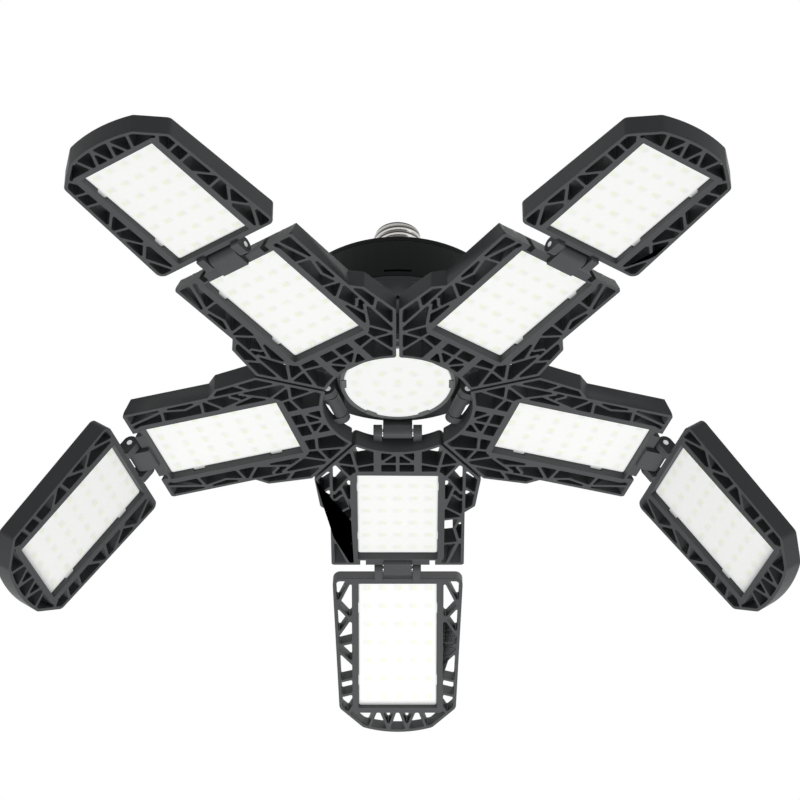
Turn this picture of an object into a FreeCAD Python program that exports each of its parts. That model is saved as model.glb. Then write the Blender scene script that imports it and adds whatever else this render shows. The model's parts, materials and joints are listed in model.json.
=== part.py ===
import FreeCAD, Part

# Folding five-arm LED garage lamp with a screw base, in millimetres.
#
# +Z is up. The origin is on the lamp's axis, in the middle of the plain band at the foot
# of the screw shell. The lamp hangs from that base with its light-emitting faces down.
# Each arm is a wing frame, hinged to the hub, that carries a tip frame on a second hinge.
# Arms are drawn once, pointing along +X from the lamp's axis, and placed by turning.

import math
import os

import Sketcher
from FreeCAD import Placement, Rotation, Vector

os.makedirs("parts", exist_ok=True)
doc = FreeCAD.newDocument("garage_lamp")


# ---------------------------------------------------------------- driving sizes

SIZES = [
    # heights, measured down from the origin or up from the light face
    ("light_face_drop", 90.8, "origin down to the light face of a wing panel"),
    ("wing_depth", 10.0, "depth of a wing frame"),
    ("wing_recess", 4.2, "wing light face above the frame's front edges"),
    ("tip_depth", 11.0, "depth of a tip frame"),
    ("tip_recess", 3.2, "tip light face above the frame's front edges"),
    # tray, board and cover plate, the same in wing and tip
    ("tray_length", 74.4, "recess for the board, along the arm"),
    ("tray_width", 43.6, "recess for the board, across the arm"),
    ("tray_wall", 3.5, "wall round the recess"),
    ("tray_corner", 2.0, "corner radius outside the tray wall"),
    ("tray_end_wall", 3.2, "tray wall at the far end of a tip frame"),
    ("plate_gap", 0.15, "clearance round the board and cover plate"),
    ("cover_thick", 1.3, "face of the cover plate"),
    ("cover_skirt", 1.2, "width of the cover plate's skirt"),
    ("cover_inside", 2.8, "light face to the circuit board"),
    ("board_thick", 1.4, "aluminium circuit board"),
    ("tab_length", 6.0, "snap tab on the cover plate, along the arm"),
    ("tab_reach", 1.4, "snap tab, out from the cover plate"),
    ("tab_setback", 15.5, "tray end to the middle of a snap tab"),
    ("tab_window", 1.6, "room in the tray wall in front of a snap tab"),
    ("chip_size", 3.0, "side of a light-emitting diode"),
    ("chip_height", 0.75, "height of a light-emitting diode"),
    ("chip_rows", 7, "diode rows along the arm"),
    ("chip_columns", 5, "diode columns across the arm"),
    ("chip_row_pitch", 10.9, "row to row"),
    ("chip_column_pitch", 8.45, "column to column"),
    ("chip_first_row", 3.5, "hub end of the recess to the first row"),
    # ribs and walls of the open frames
    ("rim_wall", 1.8, "outer wall of a frame"),
    ("rib_wall", 1.6, "ribs of the lattice"),
    ("bar_wall", 4.0, "the two wide bars between hub ring and tray"),
    ("bar_offset", 10.7, "middle of the arm to the middle of a wide bar"),
    ("centre_rib", 1.9, "rib on the middle of the arm, between the wide bars"),
    ("cell_corner", 0.7, "corner radius of the lattice openings"),
    ("least_opening", 1.0, "area left out of the lattice as too small, in square millimetres"),
    ("frame_corner", 1.6, "corner radius of a wing frame's outline"),
    # wing frame outline
    ("ring_radius", 38.8, "inner wall of the ring that the wings form"),
    ("seam_gap", 1.5, "gap between neighbouring wings"),
    ("tray_start", 59.0, "lamp axis to the wing's recess"),
    ("wing_tip", 62.2, "lamp axis to the widest point of a wing"),
    ("wing_knee", 85.6, "lamp axis to the wing's lower knee"),
    ("wing_knee_half", 41.6, "half width at the lower knee"),
    ("wing_waist", 91.0, "lamp axis to where the sides run straight"),
    ("wing_half", 36.3, "half width of the straight part"),
    ("wing_end_wall", 5.3, "recess to the outer end of the wing frame"),
    ("end_lean", 4.5, "how far the wing's outer end leans in at its back"),
    ("notch_half", 17.5, "half width of the hinge block"),
    ("notch_width", 3.0, "slot beside the hinge block"),
    ("notch_depth", 4.0, "depth of that slot"),
    # tip frame outline, measured from the fold hinge
    ("tip_start", 5.6, "fold hinge to the tip frame"),
    ("tip_tray_start", 8.8, "fold hinge to the tip's recess"),
    ("tip_half", 36.0, "half width at the hinge end"),
    ("tip_shoulder", 83.5, "fold hinge to the end of the straight sides"),
    ("tip_shoulder_half", 32.5, "half width there"),
    ("tip_chin", 95.2, "fold hinge to the end of the slanted corners"),
    ("tip_chin_half", 19.4, "half width there"),
    ("tip_bulge", 2.9, "crown of the curved end"),
    ("tip_corner", 4.0, "corner radius of a tip frame's outline"),
    # hinges
    ("hub_hinge_radius", 33.8, "lamp axis to a hub hinge"),
    ("hub_barrel", 3.6, "radius of a hub hinge barrel"),
    ("fold_hinge_gap", 5.1, "wing frame's end to the fold hinge"),
    ("fold_hinge_rise", 1.5, "fold hinge above the frames' front edges"),
    ("fold_barrel", 4.2, "radius of a fold hinge barrel"),
    ("knuckle_width", 15.4, "middle knuckle"),
    ("lug_width", 4.6, "each outer lug"),
    ("knuckle_gap", 0.5, "side gap between knuckle and lug"),
    ("pin_radius", 1.5, "hinge pins"),
    ("pin_clearance", 0.05, "radial clearance of a pin in its bores"),
    ("overlap", 0.5, "how far joined features run into each other"),
    # middle light
    ("core_face_rise", 10.8, "middle light face above the wing light face"),
    ("core_cover_radius", 28.0, "middle cover plate"),
    ("core_cover_depth", 3.4, "middle cover plate, face to back"),
    ("core_ring_inner", 11.8, "radius of the inner ring of diodes"),
    ("core_ring_outer", 22.4, "radius of the outer ring of diodes"),
    ("core_inner_count", 8, "diodes in the inner ring"),
    ("core_outer_count", 16, "diodes in the outer ring"),
    ("bezel_radius", 30.0, "bezel's lower rim"),
    ("bezel_flange_radius", 31.6, "bezel's upper flange"),
    ("bezel_flange_rise", 3.4, "light face up to the flange"),
    ("bezel_slope", 1.0, "height of the slope under the flange"),
    ("bezel_height", 6.0, "bezel, bottom to top"),
    ("clip_count", 6, "clips that hold the middle cover plate"),
    ("clip_width", 6.0, "width of a clip"),
    ("clip_reach", 1.4, "how far a clip covers the plate"),
    ("clip_root", 1.0, "how far a clip runs onto the bezel"),
    ("clip_thick", 0.8, "thickness of a clip"),
    ("sink_thick", 3.0, "heat sink disc"),
    ("sink_fin_inset", 1.0, "edge of the heat sink disc to its fins"),
    ("sink_fin_count", 9, "heat sink fins, which end under the hub flange"),
    ("sink_fin_thick", 1.6, "one heat sink fin"),
    # hub frame and driver housing
    ("column_radius", 31.2, "hub column"),
    ("column_wall", 2.2, "wall of the hub column"),
    ("arm_rise", 8.0, "foot of the column to the top of a hinge arm"),
    ("tooth_reach", 1.3, "cooling teeth, out from the column"),
    ("tooth_width", 1.4, "one cooling tooth"),
    ("tooth_height", 4.5, "cooling teeth"),
    ("tooth_count", 60, "cooling teeth round the column"),
    ("flange_rise", 31.8, "wing light face up to the hub flange"),
    ("flange_thick", 3.0, "hub flange"),
    ("wire_hole", 9.0, "radius of the wire hole in the flange"),
    ("can_radius", 57.5, "driver housing"),
    ("can_wall", 2.0, "wall of the driver housing"),
    ("can_height", 24.3, "driver housing"),
    ("slot_width", 14.0, "one of the slots in the housing wall"),
    ("slot_height", 1.4, "height of a slot"),
    ("slot_depth", 1.0, "depth of a slot"),
    ("slot_rise", 3.0, "foot of the housing to the slots"),
    ("slot_count", 4, "slots round the housing"),
    ("cap_lip", 2.5, "height of the cap's straight rim"),
    ("cap_shoulder_radius", 30.0, "where the cap's slope meets its neck cone"),
    ("cap_shoulder_rise", 14.0, "top of the housing to that place"),
    ("neck_radius", 16.0, "neck under the screw shell"),
    ("neck_straight", 4.0, "straight part of the neck"),
    ("cap_wall", 2.2, "wall of the cap"),
    ("driver_rise", 6.0, "hub flange to the driver board"),
    ("driver_radius", 49.0, "driver board"),
    ("driver_thick", 1.6, "driver board"),
    ("transformer_length", 24.0, "transformer"),
    ("transformer_width", 20.0, "transformer"),
    ("transformer_height", 17.0, "transformer"),
    ("capacitor_radius", 8.0, "large capacitor"),
    ("capacitor_height", 20.0, "large capacitor"),
    ("small_capacitor_radius", 5.0, "small capacitor"),
    ("small_capacitor_height", 14.0, "small capacitor"),
    ("choke_radius", 7.0, "choke"),
    ("choke_height", 10.0, "choke"),
    ("rectifier_length", 12.0, "rectifier"),
    ("rectifier_thick", 4.0, "rectifier"),
    ("rectifier_height", 11.0, "rectifier"),
    ("pillar_circle", 44.0, "radius of the circle of screw pillars"),
    ("pillar_radius", 3.2, "screw pillars"),
    ("screw_radius", 1.45, "screws"),
    ("screw_hole", 1.5, "screw holes"),
    ("screw_head", 2.9, "radius of a screw head"),
    ("screw_head_height", 1.9, "height of a screw head"),
    ("screw_count", 4, "housing screws"),
    # screw base
    ("band_height", 3.0, "plain band at the foot of the shell"),
    ("band_radius", 13.1, "plain band, and crest of the thread"),
    ("shell_root", 12.25, "root of the thread"),
    ("shell_wall", 0.8, "shell, root to bore"),
    ("shell_height", 24.0, "shell, foot to top"),
    ("thread_pitch", 3.629, "thread"),
    ("thread_round", 1.19, "radius of the thread's rounded crest"),
    ("thread_turns", 4.5, "turns of thread"),
    ("thread_start", 1.45, "plain band to the middle of the first thread"),
    ("insulator_height", 3.0, "insulator above the shell"),
    ("insulator_seat", 2.0, "depth of the insulator inside the shell"),
    ("insulator_top", 6.5, "radius of the insulator's top"),
    ("contact_radius", 4.8, "end contact"),
    ("contact_shoulder_radius", 4.0, "end contact, where its slope starts"),
    ("contact_shoulder_height", 1.2, "end contact, foot to that place"),
    ("contact_top_radius", 1.9, "flat top of the end contact"),
    ("contact_height", 2.0, "end contact"),
]

# Arms, by azimuth from +X: the nearest pair is open flat, and the others hang folded.
ARMS = [
    ("left_rear", 234.0, 0.0),
    ("left", 162.0, 50.0),
    ("front", 90.0, 32.0),
    ("right", 18.0, 50.0),
    ("right_rear", 306.0, 0.0),
]

sheet = doc.addObject("Spreadsheet::Sheet", "Sizes")
for row, (alias, number, meaning) in enumerate(SIZES, start=1):
    sheet.set(f"A{row}", alias)
    sheet.set(f"B{row}", str(number))
    sheet.set(f"C{row}", meaning)
    sheet.setAlias(f"B{row}", alias)
doc.recompute()


class Size:
    """A length that knows both its number and the expression that gives it."""

    def __init__(self, number, text):
        self.number = float(number)
        self.text = text

    @staticmethod
    def of(value):
        return value if isinstance(value, Size) else Size(value, repr(float(value)))

    def join(self, sign, other, number):
        return Size(number, f"({self.text} {sign} {Size.of(other).text})")

    def __add__(self, other):
        return self.join("+", other, self.number + Size.of(other).number)

    def __sub__(self, other):
        return self.join("-", other, self.number - Size.of(other).number)

    def __mul__(self, other):
        return self.join("*", other, self.number * Size.of(other).number)

    def __truediv__(self, other):
        return self.join("/", other, self.number / Size.of(other).number)

    def __radd__(self, other):
        return Size.of(other) + self

    def __rsub__(self, other):
        return Size.of(other) - self

    def __rmul__(self, other):
        return Size.of(other) * self

    def __neg__(self):
        return 0.0 - self

    def __float__(self):
        return self.number


class Sheet:
    """Reads the driving sizes by name, as Size values."""

    def __getattr__(self, alias):
        return Size(sheet.get(alias), f"Sizes.{alias}")


S = Sheet()

# Heights and lengths that follow from the driving sizes.
light_z = -S.light_face_drop
front_z = light_z - S.wing_recess
wing_back_z = front_z + S.wing_depth
hub_hinge_z = wing_back_z
tray_end = S.tray_start + S.tray_length
wing_end = tray_end + S.wing_end_wall
fold_hinge_x = wing_end + S.fold_hinge_gap
fold_hinge_z = front_z + S.fold_hinge_rise
core_z = light_z + S.core_face_rise
flange_z = light_z + S.flange_rise
can_z = flange_z + S.flange_thick
can_top_z = can_z + S.can_height
driver_z = can_z + S.driver_rise
band_bottom_z = -S.band_height / 2
shell_top_z = band_bottom_z + S.shell_height
hinge_width = S.knuckle_width + 2 * (S.knuckle_gap + S.lug_width)
bore_radius = S.pin_radius + S.pin_clearance
shell_bore = S.shell_root - S.shell_wall

AZIMUTHS = [azimuth for arm, azimuth, fold in ARMS]
SEAM_ANGLE = math.pi / len(ARMS)


# ---------------------------------------------------------------- modelling helpers

def bind(thing, **sizes):
    """Set properties of a document object and tie each one to its size expression."""
    for name, value in sizes.items():
        path = name.replace("base_", "Placement.Base.")
        size = Size.of(value)
        if "." not in path:
            setattr(thing, path, size.number)
        thing.setExpression(path, size.text)
    return thing


def box(name, length, width, height, corner):
    """A box whose lowest corner is given."""
    solid = doc.addObject("Part::Box", name)
    x, y, z = corner
    return bind(solid, Length=length, Width=width, Height=height, base_x=x, base_y=y, base_z=z)


def cylinder(name, radius, height, foot, lying=False):
    """A cylinder from its foot along +Z, or along +Y when lying."""
    solid = doc.addObject("Part::Cylinder", name)
    if lying:
        solid.Placement = Placement(Vector(), Rotation(Vector(1, 0, 0), -90))
    x, y, z = foot
    return bind(solid, Radius=radius, Height=height, base_x=x, base_y=y, base_z=z)


def cut(name, base, tool):
    """One object with another removed."""
    result = doc.addObject("Part::Cut", name)
    result.Base = base
    result.Tool = tool
    return result


def fuse(name, pieces):
    """Several objects joined."""
    result = doc.addObject("Part::MultiFuse", name)
    result.Shapes = pieces
    return result


def evenly(count):
    """Angles of evenly spaced copies, in degrees."""
    number = int(float(count))
    return [index * 360.0 / number for index in range(number)]


def turned_copies(name, piece, angles):
    """Copies of a piece, turned about the lamp's axis, as one object."""
    copies = []
    for index, angle in enumerate(angles):
        twin = doc.addObject("Part::Compound", f"{name}_{index}")
        twin.Links = [piece]
        twin.Placement = Placement(Vector(), Rotation(Vector(0, 0, 1), angle))
        copies.append(twin)
    group = doc.addObject("Part::Compound", name)
    group.Links = copies
    return group


def revolved_body(name, corners):
    """A body of revolution about the lamp's axis, from (radius, height) corners."""
    body = doc.addObject("PartDesign::Body", name)
    plane = [item for item in body.Origin.OriginFeatures if item.Role == "XZ_Plane"][0]
    sketch = body.newObject("Sketcher::SketchObject", name + "_profile")
    sketch.AttachmentSupport = (plane, [""])
    sketch.MapMode = "FlatFace"
    points = [Vector(float(Size.of(r)), float(Size.of(z)), 0) for r, z in corners]
    for index, point in enumerate(points):
        sketch.addGeometry(Part.LineSegment(point, points[(index + 1) % len(points)]))
    for index in range(len(points)):
        following = (index + 1) % len(points)
        sketch.addConstraint(Sketcher.Constraint("Coincident", index, 2, following, 1))
    for index, (radius, height) in enumerate(corners):
        for kind, size in (("DistanceX", radius), ("DistanceY", height)):
            size = Size.of(size)
            place = sketch.addConstraint(Sketcher.Constraint(kind, -1, 1, index, 1, size.number))
            sketch.setExpression(f"Constraints[{place}]", size.text)
    turn = body.newObject("PartDesign::Revolution", name + "_turn")
    turn.Profile = sketch
    turn.ReferenceAxis = (sketch, ["V_Axis"])
    turn.Angle = 360.0
    body.Tip = turn
    return body


def shape_object(name, shape):
    """An object that holds a shape worked out below from the driving sizes."""
    thing = doc.addObject("Part::Feature", name)
    thing.Shape = shape
    return thing


def polygon(points):
    """A flat face from corner points."""
    corners = [Vector(x, y, 0) for x, y in points]
    return Part.Face(Part.makePolygon(corners + corners[:1]))


def rounded(face, radius):
    """A flat face with its outward corners rounded."""
    return face.makeOffset2D(-radius).makeOffset2D(radius, 0)


def strip(start, end, width, overrun):
    """A straight rib in plan, running on past both its ends."""
    (x0, y0), (x1, y1) = start, end
    length = math.hypot(x1 - x0, y1 - y0)
    along = ((x1 - x0) / length, (y1 - y0) / length)
    across = (-along[1] * width / 2, along[0] * width / 2)
    x0, y0 = x0 - along[0] * overrun, y0 - along[1] * overrun
    x1, y1 = x1 + along[0] * overrun, y1 + along[1] * overrun
    return polygon([
        (x0 + across[0], y0 + across[1]),
        (x1 + across[0], y1 + across[1]),
        (x1 - across[0], y1 - across[1]),
        (x0 - across[0], y0 - across[1]),
    ])


def mirrored(points):
    """The outline of a shape that is symmetric about the arm, from its +Y half."""
    return points + [(x, -y) for x, y in reversed(points) if abs(y) > 1e-9]


def half_width(points, x):
    """Half the width of an outline at a distance along the arm."""
    for (x0, y0), (x1, y1) in zip(points, points[1:]):
        if min(x0, x1) <= x <= max(x0, x1) and x0 != x1:
            return y0 + (y1 - y0) * (x - x0) / (x1 - x0)
    return points[-1][1]


# ---------------------------------------------------------------- frames

def tray_outline(start):
    """Plan of the tray wall's outside, whose recess starts at the given distance."""
    length, width, wall = float(S.tray_length), float(S.tray_width), float(S.tray_wall)
    half = width / 2 + wall
    plan = polygon([
        (start - wall, -half),
        (start + length + wall, -half),
        (start + length + wall, half),
        (start - wall, half),
    ])
    return rounded(plan, float(S.tray_corner) + wall)


def lattice_cells(plan, kept, ribs):
    """Openings of a frame: what its rim, its kept walls and its ribs leave open.

    Everything solid is first drawn thicker by the corner radius, so that growing the
    openings back by that radius rounds their corners.
    """
    radius = float(S.cell_corner)
    room = plan.makeOffset2D(-float(S.rim_wall) - radius)
    walls = [wall.makeOffset2D(radius) for wall in kept]
    bars = [strip(start, end, width + 2 * radius, overrun) for start, end, width, overrun in ribs]
    cores = room.cut(walls + bars).Faces
    return [core.makeOffset2D(radius, 0) for core in cores if core.Area > float(S.least_opening)]


def wing_outline():
    """Corner points of a wing frame's +Y half, from the seam at the ring to the outer end."""
    slope = math.tan(SEAM_ANGLE)
    setback = float(S.seam_gap) / 2 / math.cos(SEAM_ANGLE)
    tip = float(S.wing_tip)
    return [
        (0.0, -setback),
        (tip, tip * slope - setback),
        (float(S.wing_knee), float(S.wing_knee_half)),
        (float(S.wing_waist), float(S.wing_half)),
        (float(wing_end), float(S.wing_half)),
    ]


def wing_ribs(outline):
    """The wing's ribs on both sides of the arm: start, end, width and overrun of each."""
    rib, bar, rim = float(S.rib_wall), float(S.bar_wall), float(S.rim_wall)
    start, end = float(S.tray_start), float(tray_end)
    tray = float(S.tray_width) / 2 + float(S.tray_wall)
    ring = float(S.ring_radius) + rim
    side = float(S.wing_half) - rim / 2
    bar_y = float(S.bar_offset)

    def beside(along, across):
        """A place between the tray wall (0) and the rim (1), part way along the tray."""
        x = start + along * (end - start)
        rim_y = half_width(outline, x) - rim
        return (x, tray + across * (rim_y - tray))

    def inward(along, share):
        """A place between the ring (0) and the tray (1), at a share of the tray's half width."""
        y = share * tray
        ring_x = math.sqrt(max(ring * ring - y * y, 0.0))
        return (ring_x + along * (start - ring_x), y)

    seam = inward(0.70, 1.30)
    gusset = inward(0.68, 0.83)
    bar_foot = inward(0.50, 0.48)
    side_top = (seam[0], side)
    side_foot = (float(S.wing_waist), side)
    spans = [
        (inward(0.10, 0.99), inward(1.0, 0.82)),
        (seam, gusset),
        (gusset, bar_foot),
        (bar_foot, inward(0.50, -0.48)),
        (inward(0.0, 0.05), inward(0.42, 0.34)),
        (seam, beside(0.03, 0.0)),
        (side_top, side_foot),
        (beside(0.135, 0.62), beside(0.21, 1.0)),
        (beside(0.04, 0.08), beside(0.215, 0.55)),
        (beside(0.13, 0.31), beside(0.36, 0.02)),
        (beside(0.23, 0.30), beside(0.29, 0.55)),
        (beside(0.37, 0.0), beside(0.47, 1.0)),
        (beside(0.52, 0.0), beside(0.495, 1.0)),
        (beside(0.505, 0.90), beside(0.63, 0.58)),
        (beside(0.63, 0.58), beside(0.80, 0.86)),
        (beside(0.815, 0.0), beside(0.79, 1.0)),
        (beside(0.80, 0.80), beside(1.04, 0.22)),
    ]
    plans = []
    for flip in (1, -1):
        for first, last in spans:
            plans.append(((first[0], first[1] * flip), (last[0], last[1] * flip), rib, rib / 2))
        plans.append(((ring - rim, bar_y * flip), (start, bar_y * flip), bar, 0.0))
    plans.append(((ring - rim, 0.0), (start, 0.0), float(S.centre_rib), 0.0))
    return plans


def wing_frame():
    """Wing frame: lattice walls, tray, hinge block for the tip and lugs for the hub."""
    outline = wing_outline()
    ring, rim = float(S.ring_radius), float(S.rim_wall)
    inside = Part.Face(Part.Wire(Part.makeCircle(ring)))
    plan = rounded(polygon(mirrored(outline)).cut(inside).Faces[0], float(S.frame_corner))
    end_block_x = float(tray_end) + float(S.tray_wall) / 2
    notch_side = float(S.notch_half) + float(S.notch_width)
    block_half = notch_side + 2 * rim
    end_block = polygon([
        (end_block_x, -block_half), (float(wing_end), -block_half),
        (float(wing_end), block_half), (end_block_x, block_half),
    ])
    tray = tray_outline(float(S.tray_start))
    openings = lattice_cells(plan, [tray, end_block], wing_ribs(outline))
    notches = [
        polygon([
            (float(wing_end) - float(S.notch_depth), flip * float(S.notch_half)),
            (float(wing_end) + rim, flip * float(S.notch_half)),
            (float(wing_end) + rim, flip * notch_side),
            (float(wing_end) - float(S.notch_depth), flip * notch_side),
        ])
        for flip in (1, -1)
    ]
    return plan, openings + notches


def tip_outline():
    """Corner points of a tip frame's +Y half, from the hinge end to the curved end."""
    return [
        (float(S.tip_start), float(S.tip_half)),
        (float(S.tip_shoulder), float(S.tip_shoulder_half)),
        (float(S.tip_chin), float(S.tip_chin_half)),
    ]


def tip_ribs(outline):
    """The tip's ribs on both sides of the arm: start, end, width and overrun of each."""
    rib, rim = float(S.rib_wall), float(S.rim_wall)
    start = float(S.tip_tray_start)
    end = start + float(S.tray_length)
    tray = float(S.tray_width) / 2 + float(S.tray_wall)
    foot = end + float(S.tray_end_wall)
    chin = float(S.tip_chin) + float(S.tip_bulge) - rim

    def beside(along, across):
        """A place between the tray wall (0) and the rim (1), part way along the tray."""
        x = start + along * (end - start)
        rim_y = half_width(outline, x) - rim
        return (x, tray + across * (rim_y - tray))

    def below(across, down):
        """A place between the tray's far wall (0) and the curved end (1)."""
        return (foot + down * (chin - foot), across * float(S.tip_chin_half))

    spans = [
        (beside(-0.02, 0.12), beside(0.175, 1.0)),
        (beside(0.175, 1.0), beside(0.30, 0.0)),
        (beside(0.26, 0.0), beside(0.41, 1.0)),
        (beside(0.47, 0.0), beside(0.495, 1.0)),
        (beside(0.64, 0.0), beside(0.545, 1.0)),
        (beside(0.765, 0.0), beside(0.785, 1.0)),
        (beside(0.885, 0.0), beside(0.905, 1.0)),
        (beside(1.00, 0.0), beside(1.045, 1.0)),
        (below(0.65, 0.0), below(0.84, 1.0)),
        (below(0.46, 0.0), below(0.26, 1.0)),
        (below(0.09, 0.0), below(0.26, 1.0)),
    ]
    plans = []
    for flip in (1, -1):
        for first, last in spans:
            plans.append(((first[0], first[1] * flip), (last[0], last[1] * flip), rib, rib / 2))
    return plans


def tip_frame():
    """Tip frame: lattice walls and tray, with a curved far end."""
    outline = tip_outline()
    chin, half, bulge = float(S.tip_chin), float(S.tip_chin_half), float(S.tip_bulge)
    corners = [Vector(x, y, 0) for x, y in outline]
    left = [Vector(point.x, -point.y, 0) for point in reversed(corners)]
    edges = [Part.LineSegment(a, b).toShape() for a, b in zip(corners, corners[1:])]
    crown = Part.Arc(Vector(chin, half, 0), Vector(chin + bulge, 0, 0), Vector(chin, -half, 0))
    edges.append(crown.toShape())
    edges += [Part.LineSegment(a, b).toShape() for a, b in zip(left, left[1:])]
    edges.append(Part.LineSegment(left[-1], corners[0]).toShape())
    plan = rounded(Part.Face(Part.Wire(edges)), float(S.tip_corner))
    start = float(S.tip_tray_start)
    end = start + float(S.tray_length)
    half_tray = float(S.tray_width) / 2 + float(S.tray_wall)
    tray = polygon([
        (float(S.tip_start), -half_tray), (end + float(S.tray_end_wall), -half_tray),
        (end + float(S.tray_end_wall), half_tray), (float(S.tip_start), half_tray),
    ])
    return plan, lattice_cells(plan, [rounded(tray, float(S.tray_corner))], tip_ribs(outline))


def frame_solid(name, plan_and_cells, start, front, depth, recess):
    """A frame from its plan: lattice walls with a tray, open to the front, between them."""
    plan, cells = plan_and_cells
    drawing = shape_object(name + "_plan", plan.cut(cells))
    walls = doc.addObject("Part::Extrusion", name + "_walls")
    walls.Base = drawing
    walls.DirMode = "Custom"
    walls.Dir = Vector(0, 0, 1)
    walls.Solid = True
    bind(walls, LengthFwd=depth, base_z=front)
    recess_depth = recess + S.cover_inside + S.board_thick
    hollow = box(name + "_recess", S.tray_length, S.tray_width, recess_depth,
                 (start, -S.tray_width / 2, front))
    tabs = []
    for number, middle in enumerate((S.tab_setback, S.tray_length - S.tab_setback)):
        tabs.append(box(
            f"{name}_tab_slot_{number}", S.tab_length + 2 * S.plate_gap,
            S.tray_width + 2 * (S.tab_reach + S.plate_gap),
            S.tab_window + S.cover_thick + S.plate_gap,
            (start + middle - S.tab_length / 2 - S.plate_gap,
             -S.tray_width / 2 - S.tab_reach - S.plate_gap, front + recess - S.tab_window)))
    return cut(name + "_tray", walls, fuse(name + "_hollows", [hollow] + tabs))


def middle_knuckle(name, x, z, radius, reach, towards):
    """Barrel of a hinge's middle knuckle with an arm towards +X or -X."""
    half = S.knuckle_width / 2
    barrel = cylinder(name + "_barrel", radius, S.knuckle_width, (x, -half, z), lying=True)
    corner_x = x if towards > 0 else x - reach
    arm = box(name + "_arm", reach, S.knuckle_width, 2 * radius, (corner_x, -half, z - radius))
    return [barrel, arm]


def outer_lugs(name, x, z, radius, reach, arm_low, arm_height, towards):
    """The two lugs that hold a hinge's pin, with arms towards +X or -X."""
    pieces = []
    for side, low in (("a", S.knuckle_width / 2 + S.knuckle_gap), ("b", -hinge_width / 2)):
        pieces.append(cylinder(f"{name}_{side}_lug", radius, S.lug_width, (x, low, z), lying=True))
        corner_x = x if towards > 0 else x - reach
        pieces.append(box(f"{name}_{side}_arm", reach, S.lug_width, arm_height, (corner_x, low, arm_low)))
    return pieces


def pin_bore(name, x, z):
    """The hole through a whole hinge."""
    length = hinge_width + 2 * S.overlap
    return cylinder(name, bore_radius, length, (x, -length / 2, z), lying=True)


def bored(name, pieces, x, z):
    """The knuckle or lugs of a hinge, with the pin's hole through them."""
    return cut(name, fuse(name + "_solid", pieces), pin_bore(name + "_bore", x, z))


def beyond_leaning_end():
    """What the wing's outer end loses, so that it leans in from its front edge to its back."""
    half = S.wing_half + S.overlap
    block = box("wing_end_block", S.wing_end_wall, 2 * half, 2 * S.wing_depth, (wing_end, -half, front_z))
    block.Placement.Rotation = Rotation(Vector(0, -1, 0), 0)
    block.setExpression("Placement.Rotation.Axis.y", "-1")
    block.setExpression("Placement.Rotation.Angle", f"atan2({S.end_lean.text}; {S.wing_depth.text})")
    return block


def make_wing_frame():
    """The frame next to the hub."""
    upright = frame_solid("wing", wing_frame(), S.tray_start, front_z, S.wing_depth, S.wing_recess)
    tray = cut("wing_leaning_tray", upright, beyond_leaning_end())
    hub_reach = S.ring_radius + S.rim_wall / 2 - S.hub_hinge_radius
    lugs = outer_lugs("wing_hub", S.hub_hinge_radius, hub_hinge_z, S.hub_barrel, hub_reach,
                      hub_hinge_z - S.hub_barrel, S.hub_barrel, 1)
    fold_reach = S.fold_hinge_gap + S.end_lean / 2 + S.rim_wall
    knuckle = middle_knuckle("wing_fold", fold_hinge_x, fold_hinge_z, S.fold_barrel, fold_reach, -1)
    return fuse("wing_frame", [
        tray,
        bored("wing_hub_lugs", lugs, S.hub_hinge_radius, hub_hinge_z),
        bored("wing_fold_knuckle", knuckle, fold_hinge_x, fold_hinge_z),
    ])


def make_tip_frame():
    """The frame at the end of an arm, drawn flat, about its own hinge."""
    front = -S.fold_hinge_rise
    tray = frame_solid("tip", tip_frame(), S.tip_tray_start, front, S.tip_depth, S.tip_recess)
    reach = S.tip_start + S.rim_wall / 2
    lugs = outer_lugs("tip_fold", 0.0, 0.0, S.fold_barrel, reach,
                      -S.fold_barrel, 2 * S.fold_barrel, 1)
    return fuse("tip_frame", [tray, bored("tip_fold_lugs", lugs, 0.0, 0.0)])


# ---------------------------------------------------------------- boards and cover plates

def make_board(name, start, light):
    """Circuit board with its diodes, one corner left free for the connector."""
    length = S.tray_length - 2 * S.plate_gap
    width = S.tray_width - 2 * S.plate_gap
    under = light + S.cover_inside
    pieces = [box(name + "_plate", length, width, S.board_thick, (start + S.plate_gap, -width / 2, under))]
    rows, columns = int(float(S.chip_rows)), int(float(S.chip_columns))
    for row in range(rows):
        for column in range(columns):
            if (row, column) == (rows - 1, 0):
                continue
            x = start + S.chip_first_row + S.chip_row_pitch * row - S.chip_size / 2
            y = S.chip_column_pitch * (column - (columns - 1) / 2) - S.chip_size / 2
            pieces.append(box(f"{name}_chip_{row}_{column}", S.chip_size, S.chip_size,
                              S.chip_height, (x, y, under - S.chip_height)))
    return fuse(name, pieces)


def make_cover(name, start, light):
    """Clear cover plate: a shallow tray over the board, with four snap tabs."""
    length = S.tray_length - 2 * S.plate_gap
    width = S.tray_width - 2 * S.plate_gap
    x = start + S.plate_gap
    block = box(name + "_block", length, width, S.cover_inside, (x, -width / 2, light))
    room = box(name + "_room", length - 2 * S.cover_skirt, width - 2 * S.cover_skirt,
               S.cover_inside, (x + S.cover_skirt, S.cover_skirt - width / 2, light + S.cover_thick))
    tabs = []
    for number, middle in enumerate((S.tab_setback, S.tray_length - S.tab_setback)):
        for side, low in (("a", width / 2 - S.cover_skirt), ("b", -width / 2 - S.tab_reach)):
            tabs.append(box(f"{name}_tab_{number}{side}", S.tab_length, S.tab_reach + S.cover_skirt,
                            S.cover_thick, (start + middle - S.tab_length / 2, low, light)))
    return fuse(name, [cut(name + "_shell", block, room)] + tabs)


# ---------------------------------------------------------------- arms

def place_copy(name, master, placement):
    """A named sub-part: the master's shape at its own place."""
    copy = shape_object(name, master.Shape)
    copy.Placement = placement.multiply(master.Placement)
    copy.Label = name
    return copy


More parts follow.
